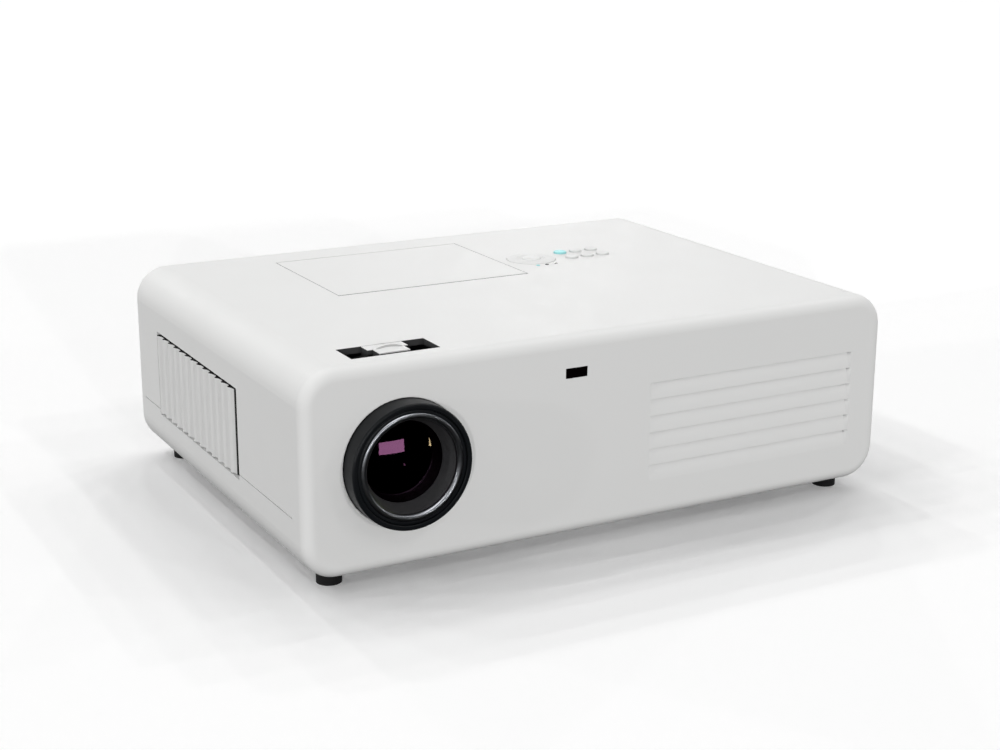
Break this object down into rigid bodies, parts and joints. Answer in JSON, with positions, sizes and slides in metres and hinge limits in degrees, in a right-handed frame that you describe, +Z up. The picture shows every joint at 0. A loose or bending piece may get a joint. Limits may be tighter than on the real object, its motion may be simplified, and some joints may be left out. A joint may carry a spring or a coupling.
{
  "type": "projector",
  "caption": "Table-top video projector in a white casing with a zoom lens at one side of the front, louvres, top controls, side grille and rear sockets.",
  "frame": {"origin": "centre of the overall box in plan, on the surface that the feet stand on", "axes": "+Z up, the lens looks along -Y, +X to the right as seen from the front"},
  "size_m": [0.38, 0.2918, 0.1266],
  "materials": {
    "case_white": "fine satin moulding texture",
    "key_white": "satin",
    "power_cyan": "translucent, soft gloss",
    "indicator_dark": "gloss",
    "window_dark": "gloss",
    "lens_black": "satin black",
    "slot_black": "matte black",
    "chrome": "polished",
    "lens_glass": "coated glass",
    "panel_glass": "polarised glass",
    "mirror": "front-silvered",
    "inner_black": "glass-filled black",
    "foam": "open-cell foam",
    "reflector": "dichroic coating",
    "quartz": "fused quartz",
    "board_green": "solder mask with dark components",
    "ballast_metal": "brushed sheet",
    "socket_black": "satin",
    "socket_blue": "satin",
    "socket_metal": "tin plate",
    "foot_rubber": "matte",
    "screw_steel": "zinc plated",
    "insert_brass": "turned"
  },
  "bodies": {
    "casing": {"top_cover": "case_white", "bottom_cover": "case_white", "front_panel": "case_white", "rear_panel": "case_white", "side_grille": "case_white", "remote_window": "window_dark", "filter_foam": "foam", "lens_tube": "lens_black", "rear_lens": "lens_glass", "slot_lining": "slot_black", "optics_housing": "inner_black", "colour_prism": "lens_glass", "liquid_crystal_panels": "panel_glass", "light_mirrors": "mirror", "lamp_housing": "inner_black", "lamp_reflector": "reflector", "lamp_burner": "quartz", "exhaust_fan_frame": "inner_black", "intake_fan_frame": "inner_black", "main_board": "board_green", "power_board": "board_green", "lamp_ballast": "ballast_metal", "speaker": "inner_black", "key_board": "board_green", "power_indicator": "power_cyan", "warning_indicators": "indicator_dark", "ac_inlet": "socket_black", "ac_inlet_pins": "socket_metal", "computer_sockets": "socket_metal", "socket_inserts": "socket_blue", "round_jacks": "socket_black", "network_socket": "socket_black", "rear_feet": "foot_rubber", "case_screws": "screw_steel", "mount_inserts": "insert_brass"},
    "lamp_cover": {"lamp_cover": "case_white"},
    "focus_ring": {"focus_ring": "lens_black", "focus_tab": "key_white"},
    "focus_barrel": {"focus_barrel": "lens_black", "chrome_ring": "chrome", "front_lens": "lens_glass"},
    "zoom_ring": {"zoom_ring": "lens_black", "zoom_tab": "key_white"},
    "zoom_group": {"zoom_carrier": "lens_black", "zoom_lens": "lens_glass"},
    "exhaust_fan_rotor": {"exhaust_fan_rotor": "inner_black"},
    "intake_fan_rotor": {"intake_fan_rotor": "inner_black"},
    "power_button": {"power_button": "power_cyan"},
    "enter_button": {"enter_button": "key_white"},
    "navigation_pivot": {"navigation_pivot": "inner_black"},
    "navigation_ring": {"navigation_ring": "key_white"},
    "left_foot_screw": {"left_foot_screw": "screw_steel"},
    "left_foot_pad": {"left_foot_pad": "foot_rubber"},
    "right_foot_screw": {"right_foot_screw": "screw_steel"},
    "right_foot_pad": {"right_foot_pad": "foot_rubber"},
    "menu_button_1": {"menu_button_1": "key_white"},
    "menu_button_2": {"menu_button_2": "key_white"},
    "menu_button_3": {"menu_button_3": "key_white"},
    "menu_button_4": {"menu_button_4": "key_white"},
    "menu_button_5": {"menu_button_5": "key_white"}
  },
  "joints": [
    {"name": "lamp_cover_lift", "type": "slide", "parent": "casing", "child": "lamp_cover", "axis": [0, 0, 1], "range_m": [0, 0.04]},
    {"name": "focus_turn", "type": "hinge", "parent": "casing", "child": "focus_ring", "pos_m": [-0.1318, -0.1141, 0.0685], "axis": [0, -1, 0], "range_deg": [-16.1, 16.1]},
    {"name": "focus_drive", "type": "slide", "parent": "casing", "child": "focus_barrel", "axis": [0, -1, 0], "range_m": [-0.0014, 0.0014]},
    {"name": "zoom_turn", "type": "hinge", "parent": "casing", "child": "zoom_ring", "pos_m": [-0.1318, -0.1031, 0.0685], "axis": [0, -1, 0], "range_deg": [-13, 13]},
    {"name": "zoom_drive", "type": "slide", "parent": "casing", "child": "zoom_group", "axis": [0, -1, 0], "range_m": [-0.0034, 0.0034]},
    {"name": "exhaust_fan_spin", "type": "hinge", "parent": "casing", "child": "exhaust_fan_rotor", "pos_m": [-0.1692, 0.0579, 0.06], "axis": [-1, 0, 0], "continuous": true},
    {"name": "intake_fan_spin", "type": "hinge", "parent": "casing", "child": "intake_fan_rotor", "pos_m": [0.09535, -0.1016, 0.06], "axis": [0, 1, 0], "continuous": true},
    {"name": "power_press", "type": "slide", "parent": "casing", "child": "power_button", "axis": [0, 0, -1], "range_m": [0, 0.0008], "stiffness_N_per_m": 1000, "springref_m": -0.0005},
    {"name": "menu_press_1", "type": "slide", "parent": "casing", "child": "menu_button_1", "axis": [0, 0, -1], "range_m": [0, 0.0008], "stiffness_N_per_m": 1000, "springref_m": -0.0005},
    {"name": "menu_press_2", "type": "slide", "parent": "casing", "child": "menu_button_2", "axis": [0, 0, -1], "range_m": [0, 0.0008], "stiffness_N_per_m": 1000, "springref_m": -0.0005},
    {"name": "menu_press_3", "type": "slide", "parent": "casing", "child": "menu_button_3", "axis": [0, 0, -1], "range_m": [0, 0.0008], "stiffness_N_per_m": 1000, "springref_m": -0.0005},
    {"name": "menu_press_4", "type": "slide", "parent": "casing", "child": "menu_button_4", "axis": [0, 0, -1], "range_m": [0, 0.0008], "stiffness_N_per_m": 1000, "springref_m": -0.0005},
    {"name": "menu_press_5", "type": "slide", "parent": "casing", "child": "menu_button_5", "axis": [0, 0, -1], "range_m": [0, 0.0008], "stiffness_N_per_m": 1000, "springref_m": -0.0005},
    {"name": "enter_press", "type": "slide", "parent": "casing", "child": "enter_button", "axis": [0, 0, -1], "range_m": [0, 0.0008], "stiffness_N_per_m": 1000, "springref_m": -0.0005},
    {"name": "navigation_up_down", "type": "hinge", "parent": "casing", "child": "navigation_pivot", "pos_m": [0.0472, 0.0479, 0.1215], "axis": [1, 0, 0], "range_deg": [-3, 3], "stiffness_Nm_per_rad": 0.25},
    {"name": "navigation_left_right", "type": "hinge", "parent": "navigation_pivot", "child": "navigation_ring", "pos_m": [0.0472, 0.0479, 0.1215], "axis": [0, 1, 0], "range_deg": [-3, 3], "stiffness_Nm_per_rad": 0.25},
    {"name": "left_foot_height", "type": "slide", "parent": "casing", "child": "left_foot_screw", "axis": [0, 0, -1], "range_m": [0, 0.012]},
    {"name": "left_foot_turn", "type": "hinge", "parent": "left_foot_screw", "child": "left_foot_pad", "pos_m": [-0.168, -0.1136, 0.004], "axis": [0, 0, 1], "range_deg": [0, 1440.1]},
    {"name": "right_foot_height", "type": "slide", "parent": "casing", "child": "right_foot_screw", "axis": [0, 0, -1], "range_m": [0, 0.012]},
    {"name": "right_foot_turn", "type": "hinge", "parent": "right_foot_screw", "child": "right_foot_pad", "pos_m": [0.168, -0.1136, 0.004], "axis": [0, 0, 1], "range_deg": [0, 1440.1]}
  ],
  "couplings": [
    {"joint": "focus_turn", "follows": "focus_drive", "rad_per_m": 200},
    {"joint": "zoom_turn", "follows": "zoom_drive", "rad_per_m": 66.667},
    {"joint": "left_foot_turn", "follows": "left_foot_height", "rad_per_m": 2094.4},
    {"joint": "right_foot_turn", "follows": "right_foot_height", "rad_per_m": 2094.4}
  ]
}
